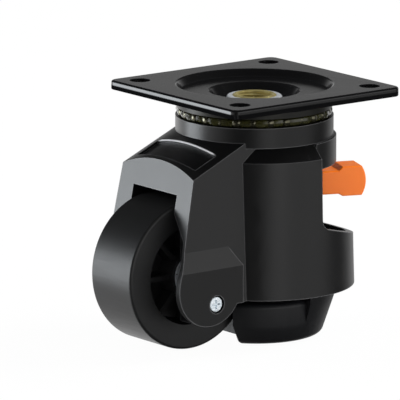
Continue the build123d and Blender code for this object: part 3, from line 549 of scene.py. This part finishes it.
tree = housing_coat.node_tree
shader = tree.nodes["Principled BSDF"]
place = tree.nodes.new("ShaderNodeTexCoord").outputs["Object"]
arch_axis = roof_crown - out_of_roof * arch_radius
run = distance(tree, place, along_roof, roof_crown)
rise = distance(tree, place, out_of_roof, arch_axis)
side = distance(tree, place, Vector((0.0, 1.0, 0.0)), roof_crown)
radius = math_node(
    tree, "ADD", math_node(tree, "MULTIPLY", rise, rise), math_node(tree, "MULTIPLY", side, side),
)
radius = math_node(tree, "POWER", radius, 0.5)
line = fade(tree, run, recess_rear - 0.3 * MM, recess_rear)
# it fades out again behind the wall, below the roof and near the ends of the recess
for value, start, end in (
    (run, recess_rear + 0.9 * MM, recess_rear + 0.4 * MM),
    (radius, arch_radius - 0.5 * MM, arch_radius - 0.3 * MM),
    (math_node(tree, "ABSOLUTE", side), recess_half_width, recess_half_width - 2.9 * MM),
):
    line = math_node(tree, "MULTIPLY", line, fade(tree, value, start, end))
coated = shader.inputs["Base Color"].links[0].from_socket
# the pale painted highlight is mixed over the coat's colour along the line
tree.links.new(colour_mix(tree, line, coated, painted_highlight_colour), shader.inputs["Base Color"])
print("recess's rear edge starts", round(recess_rear, 4), "behind the crown")

# %% [markdown]
# The fittings are zinc plated, and the kingpin's plating is passivated yellow.  Plating is a thin
# metal skin, so it could be plain metal, but in a dark room that goes black.  A little less than full
# Metallic keeps some of the colour.  The balls are hard steel under grease.

# %% Bright finishes
bright_zinc = turned(
    "bright_zinc", (0.62, 0.66, 0.71), (0.80, 0.83, 0.86), (1.0, 1.0, 1.0), 700.0, 0.12, 0.30,
    0.14, Metallic=0.75,
)
dull_zinc = grained(
    "dull_zinc", (0.32, 0.33, 0.35), (0.42, 0.43, 0.45), 1300.0, 0.3, 0.48, 0.15, Metallic=0.85,
)
yellow_zinc = turned(
    "yellow_zinc", (0.24, 0.16, 0.02), (0.84, 0.76, 0.36), (1.0, 1.0, 1.0), 200.0, 0.1, 0.24,
    0.16, Metallic=0.6,
)
ring_zinc = turned(
    "ring_zinc", (0.50, 0.53, 0.56), (0.80, 0.82, 0.84), (1.0, 1.0, 1.0), 420.0, 0.15, 0.25,
    0.14, Metallic=0.5,
)
screw_zinc = turned(
    "screw_zinc", (0.62, 0.70, 0.76), (0.86, 0.90, 0.93), (1.0, 1.0, 1.0), 600.0, 0.12, 0.28,
    0.12, Metallic=0.25,
)
greased_steel = grained(
    "greased_steel", (0.030, 0.028, 0.008), (0.16, 0.15, 0.10), 300.0, 0.05, 0.16, 0.1,
    Metallic=0.9, Coat_Weight=0.6, Coat_Roughness=0.1,
)
bearing_grease_film = grained(
    "bearing_grease_film", (0.008, 0.008, 0.002), (0.040, 0.038, 0.010), 500.0, 0.5, 0.20, 0.1,
    Coat_Weight=0.5, Coat_Roughness=0.08,
)
bronze = grained(
    "bronze", (0.45, 0.28, 0.11), (0.58, 0.38, 0.17), 1500.0, 0.2, 0.4, 0.1, Metallic=0.9,
)
bright_finishes = (
    bright_zinc, dull_zinc, yellow_zinc, ring_zinc, screw_zinc, greased_steel, bearing_grease_film,
    bronze,
)
print("bright finishes:", [finish.name for finish in bright_finishes])

# %% [markdown]
# The lever is moulded from orange nylon, so that a hand finds it.  Light goes a short way into
# nylon, which a little subsurface scattering gives, and a weak coat is its moulded sheen.

# %% Orange nylon
# the paler orange edge colour is a painted highlight along the lever's edges
lever_nylon = grained(
    "lever_nylon", (0.96, 0.180, 0.003), (1.00, 0.210, 0.005), 2400.0, 0.12, 0.42, 0.08,
    edge=((0.95, 0.30, 0.05), 0.35), Subsurface_Weight=0.05, Subsurface_Scale=0.002,
    Coat_Weight=0.4, Coat_Roughness=0.35,
)
print("lever's finish:", lever_nylon.name)

# %% [markdown]
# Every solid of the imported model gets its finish, and the ones with edges that show get a small
# bevel, which gives each edge a strip that can catch a lamp.  Two tables say which.

# %% Which finish, which bevel
finishes = {
    "mounting_plate": plate_coat, "upper_track": dark_steel, "kingpin": yellow_zinc,
    "kingpin_ring": ring_zinc, "ball_cup": dark_steel, "small_balls": greased_steel,
    "large_balls": greased_steel, "housing": housing_coat, "axle": bright_zinc,
    "axle_keepers": housing_coat, "keeper_screws": screw_zinc, "spacer_washers": bright_zinc,
    "upper_thrust_washer": dark_steel, "lower_thrust_washer": dark_steel, "stem_bush": bronze,
    "wheel": wheel_nylon, "wheel_bush": bright_zinc, "levelling_nut": bright_zinc,
    "ratchet_ring": dull_zinc, "ring_plug": dull_zinc, "pawl_washer": bright_zinc,
    "pawl_spring": dark_steel, "pawl": bright_zinc, "lever": lever_nylon,
    "foot_pad": rubber_skin, "foot_plate": housing_coat, "threaded_stem": bright_zinc,
    "foot_screw": bright_zinc, "guide_rods": bright_zinc,
}
bevel_widths = {
    "mounting_plate": 0.5, "housing": 0.6, "lever": 0.3, "foot_pad": 0.5, "keeper_screws": 0.15,
    "kingpin_ring": 0.2, "kingpin": 0.2, "wheel": 0.3, "axle_keepers": 0.3, "ratchet_ring": 0.3,
    "levelling_nut": 0.3, "foot_plate": 0.4, "foot_screw": 0.3,
}
print("solids with a bevel:", len(bevel_widths), "of", len(finishes))

# %% [markdown]
# The solids come as facets.  A maker wants round walls smooth and real edges crisp, so a small
# Geometry Nodes group welds the facets and smooths them, except where two of them meet at more than
# an angle.  The bevel and it are modifiers, so the solid's own mesh stays as it is.

# %% Crisp shading
weld_distance = 0.001 * MM
sharp_angle = math.radians(30.0)
sharp_angles = {"housing": math.radians(12.4)}      # the cheek panels' upper slopes are gentle


def crisp_group():
    """Geometry nodes that weld a faceted solid and smooth it, except across its sharp edges."""
    group = bpy.data.node_groups.new("crisp shading", "GeometryNodeTree")
    group.interface.new_socket("Geometry", in_out="INPUT", socket_type="NodeSocketGeometry")
    angle = group.interface.new_socket("Sharp Angle", in_out="INPUT", socket_type="NodeSocketFloat")
    group.interface.new_socket("Geometry", in_out="OUTPUT", socket_type="NodeSocketGeometry")
    start = group.nodes.new("NodeGroupInput")
    end = group.nodes.new("NodeGroupOutput")
    weld = group.nodes.new("GeometryNodeMergeByDistance")
    weld.inputs["Distance"].default_value = weld_distance
    smooth = group.nodes.new("GeometryNodeSetShadeSmooth")
    smooth.domain = "FACE"
    bend = group.nodes.new("GeometryNodeInputMeshEdgeAngle")
    gentle = group.nodes.new("FunctionNodeCompare")
    gentle.operation = "LESS_THAN"
    split = group.nodes.new("GeometryNodeSetShadeSmooth")
    split.domain = "EDGE"
    group.links.new(start.outputs["Geometry"], weld.inputs["Geometry"])
    group.links.new(weld.outputs["Geometry"], smooth.inputs[0])
    group.links.new(smooth.outputs[0], split.inputs[0])
    group.links.new(bend.outputs["Unsigned Angle"], gentle.inputs["A"])
    group.links.new(start.outputs["Sharp Angle"], gentle.inputs["B"])
    group.links.new(gentle.outputs["Result"], split.inputs["Shade Smooth"])
    group.links.new(split.outputs[0], end.inputs["Geometry"])
    return group, angle.identifier


crisp_shading, angle_socket = crisp_group()


def clean_edges(solid, width=0.0, sharp=sharp_angle):
    """Bevel the solid's sharp edges by width and shade the rest as the smooth form it stands for."""
    if "custom_normal" in solid.data.attributes:
        solid.data.attributes.remove(solid.data.attributes["custom_normal"])
    if width:
        weld = solid.modifiers.new("weld", "WELD")
        weld.merge_threshold = weld_distance
        edge = solid.modifiers.new("edge", "BEVEL")
        edge.width = width
        edge.segments = 2
        edge.limit_method = "ANGLE"
        edge.angle_limit = sharp
        edge.miter_outer = "MITER_ARC"
    crisp = solid.modifiers.new("crisp", "NODES")
    crisp.node_group = crisp_shading
    crisp[angle_socket] = sharp
    even = solid.modifiers.new("even", "WEIGHTED_NORMAL")
    even.keep_sharp = True


print("group:", crisp_shading.name)

# %% [markdown]
# Now each solid is dressed: its plain material goes, its finish comes, and the modifiers follow.

# %% Finish the solids
for name, solid in node_objects.items():
    solid.data.materials.clear()
    solid.data.materials.append(finishes[name])
    clean_edges(solid, bevel_widths.get(name, 0.0) * MM, sharp_angles.get(name, sharp_angle))
print("finished", len(finishes), "solids")

# %% [markdown]
# Two threads can be seen: the levelling stem's, through the rear window, and the one in the
# kingpin's bore.  A thread is one small section carried along a helix, so one function makes both.
# It fades in and out over half a turn at each end, as a cut thread does.

# %% Thread maker
def new_piece(name, vertices, faces, material):
    """A mesh object from its vertices and faces, shaded like the solids."""
    mesh = bpy.data.meshes.new(name)
    mesh.from_pydata(vertices, [], faces)
    mesh.materials.append(material)
    piece = bpy.data.objects.new(name, mesh)
    bpy.context.scene.collection.objects.link(piece)
    clean_edges(piece)
    return piece


def thread_ridge(centre_x, low, high, pitch, root, crest, root_width, crest_width, steps=40):
    """Vertices and faces of a ridge that climbs around an upright axis from low to high."""
    count = round((high - low) / pitch * steps)
    vertices = []
    for step in range(count + 1):
        angle = math.tau * step / steps
        middle = low + pitch * step / steps
        fullness = min(1.0, step / (steps / 2), (count - step) / (steps / 2))
        tip = root + (crest - root) * max(fullness, 0.02)
        for radius, rise in (
            (root, -root_width / 2), (tip, -crest_width / 2),
            (tip, crest_width / 2), (root, root_width / 2),
        ):
            vertices.append((
                centre_x + radius * math.cos(angle), radius * math.sin(angle), middle + rise,
            ))
    faces = [(3, 2, 1, 0), tuple(count * 4 + corner for corner in range(4))]
    for step in range(count):
        for corner in range(4):
            here = step * 4 + corner
            beside = step * 4 + (corner + 1) % 4
            faces.append((here, beside, beside + 4, here + 4))
    if crest < root:
        faces = [tuple(reversed(face)) for face in faces]
    return vertices, faces


def lathe(profile, centre_x, steps=96, wave=None):
    """Vertices and faces of a profile of (radius, height) turned around an upright axis."""
    vertices = []
    for step in range(steps):
        angle = math.tau * step / steps
        swell = wave(angle) if wave else 0.0
        for radius, height in profile:
            reach = radius + swell
            vertices.append((centre_x + reach * math.cos(angle), reach * math.sin(angle), height))
    count = len(profile)
    faces = []
    for step in range(steps):
        for corner in range(count):
            here = step * count + corner
            above = step * count + (corner + 1) % count
            beyond = ((step + 1) % steps) * count
            faces.append((here, beyond + corner, beyond + (corner + 1) % count, above))
    return vertices, faces


# %% [markdown]
# The stem's trapezoidal thread has a pitch of 3 mm: one turn of the nut lifts or lowers the foot
# by that much.  The piece is a plain core, its collar and the ridge around it, and it takes the
# place of the plain solid, which stays for the physics.

# %% Levelling stem
stem_low, stem_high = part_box("threaded_stem")
stem_x = (stem_low.x + stem_high.x) / 2
collar_radius = (stem_high.x - stem_low.x) / 2
plate_top_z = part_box("foot_plate")[1].z
stem_crest = 6.0 * MM
stem_root = 4.55 * MM
collar_height = 2.0 * MM
tip_chamfer = 1.0 * MM
hair = 0.02 * MM            # keeps the profile's ends just off the axis
stem_profile = [
    (hair, stem_low.z), (stem_crest, stem_low.z), (stem_crest, plate_top_z - collar_height),
    (collar_radius, plate_top_z - collar_height), (collar_radius, plate_top_z),
    (stem_root, plate_top_z), (stem_root, stem_high.z - tip_chamfer),
    (stem_root - tip_chamfer, stem_high.z), (hair, stem_high.z),
]
stem_pitch = 3.0 * MM
core_vertices, core_faces = lathe(stem_profile, stem_x)
ridge_vertices, ridge_faces = thread_ridge(
    stem_x, plate_top_z + 2.5 * MM, stem_high.z - 1.5 * MM, stem_pitch, stem_root - 0.1 * MM,
    stem_crest, root_width=2.0 * MM, crest_width=1.1 * MM,
)
offset = len(core_vertices)
stem = new_piece(
    "stem_with_thread",
    core_vertices + ridge_vertices,
    core_faces + [tuple(corner + offset for corner in face) for face in ridge_faces],
    bright_zinc,
)
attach(stem, "foot")
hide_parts("threaded_stem")
print("stem thread from", round(plate_top_z, 4), "to", round(stem_high.z, 4))

# %% [markdown]
# The kingpin's bore has a fine thread.  Its ridge grows inwards, so its crest is nearer to the
# axis than its root.

# %% Kingpin thread
kingpin_low, kingpin_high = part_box("kingpin")
bore_radius = 7.5 * MM
bore_pitch = 1.25 * MM
bore_thread = new_piece(
    "kingpin_thread",
    *thread_ridge(
        0.0, kingpin_low.z + 1.5 * MM, kingpin_high.z - 1.2 * MM, bore_pitch,
        bore_radius + 0.05 * MM, bore_radius - 0.65 * MM, root_width=1.15 * MM,
        crest_width=0.2 * MM, steps=48,
    ),
    yellow_zinc,
)
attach(bore_thread, "plate")
print("bore thread's turns:", round((kingpin_high.z - kingpin_low.z) / bore_pitch, 1))

# %% [markdown]
# The pawl's spring is trapped between the ring's plug and the pawl's washer, so one end stays with
# the ring and the other goes with the washer.  A rigid piece can't do that.  Here a copy of the coil
# takes the solid's place, with its place baked into its mesh, and it is not tied to either body.

# %% Pawl spring
coil = bpy.data.objects.new("pawl_spring_coil", node_objects["pawl_spring"].data.copy())
coil.matrix_world = node_objects["pawl_spring"].matrix_world
bpy.context.scene.collection.objects.link(coil)
clean_edges(coil)
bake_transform(coil)
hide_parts("pawl_spring")

# %% [markdown]
# The large ball race is packed with grease.  It fills the room between the balls, not quite as
# far out as they reach, and is uneven, as grease pressed out by rolling balls is.

# %% Bearing grease
ball_low, ball_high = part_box("large_balls")
ball_radius = (ball_high.z - ball_low.z) / 2
race_radius = ball_high.x - ball_radius
race_z = (ball_low.z + ball_high.z) / 2
grease_depth = 2.95 * MM
grease_half_height = 2.3 * MM
grease_corners = 12
grease_profile = [
    (
        race_radius + grease_depth * math.cos(math.tau * corner / grease_corners),
        race_z + grease_half_height * math.sin(math.tau * corner / grease_corners),
    )
    for corner in range(grease_corners)
]


def grease_wave(angle):
    """How far the grease stands out of its ring at an angle."""
    return (0.30 * math.sin(11 * angle) + 0.25 * math.sin(29 * angle + 1.0)) * MM


grease = new_piece(
    "bearing_grease", *lathe(grease_profile, 0.0, 240, grease_wave), bearing_grease_film,
)
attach(grease, "swivel_housing")
print("grease ring's radius", round(race_radius, 4))

# %% [markdown]
# The floor is a wide pale sheet just under the wheel and foot.  The camera sees it as nearly
# white, and a share of plain diffuse white in it keeps the part's own soft shadow.  A glossy ray
# passes through it to the room, which has the white of the floor in it.

# %% Floor
floor_reach = 6.0
floor_z = cad_low.z - 0.02 * MM
white_seen = 0.97           # the share of plain white that the camera sees in it
floor_mesh = bpy.data.meshes.new("floor")
floor_mesh.from_pydata(
    [
        (x * floor_reach, y * floor_reach, floor_z)
        for x, y in ((-1, -1), (1, -1), (1, 1), (-1, 1))
    ],
    [],
    [(0, 1, 2, 3)],
)
floor = bpy.data.objects.new("floor", floor_mesh)
bpy.context.scene.collection.objects.link(floor)
floor_paper, tree, shader = new_material("floor_paper")
shader.inputs["Base Color"].default_value = (0.80, 0.80, 0.80, 1.0)
shader.inputs["Roughness"].default_value = 1.0
shader.inputs["Specular IOR Level"].default_value = 0.0
glow = tree.nodes.new("ShaderNodeEmission")
seen = tree.nodes.new("ShaderNodeMixShader")
path = tree.nodes.new("ShaderNodeLightPath")
white_share = math_node(tree, "MULTIPLY", path.outputs["Is Camera Ray"], white_seen)
tree.links.new(white_share, seen.inputs["Fac"])
tree.links.new(shader.outputs["BSDF"], seen.inputs[1])
tree.links.new(glow.outputs["Emission"], seen.inputs[2])
clear = tree.nodes.new("ShaderNodeBsdfTransparent")
mirrored = tree.nodes.new("ShaderNodeMixShader")
tree.links.new(path.outputs["Is Glossy Ray"], mirrored.inputs["Fac"])
tree.links.new(seen.outputs["Shader"], mirrored.inputs[1])
tree.links.new(clear.outputs["BSDF"], mirrored.inputs[2])
tree.links.new(mirrored.outputs["Shader"], tree.nodes["Material Output"].inputs["Surface"])
floor_mesh.materials.append(floor_paper)
print("floor at", round(floor_z, 5))
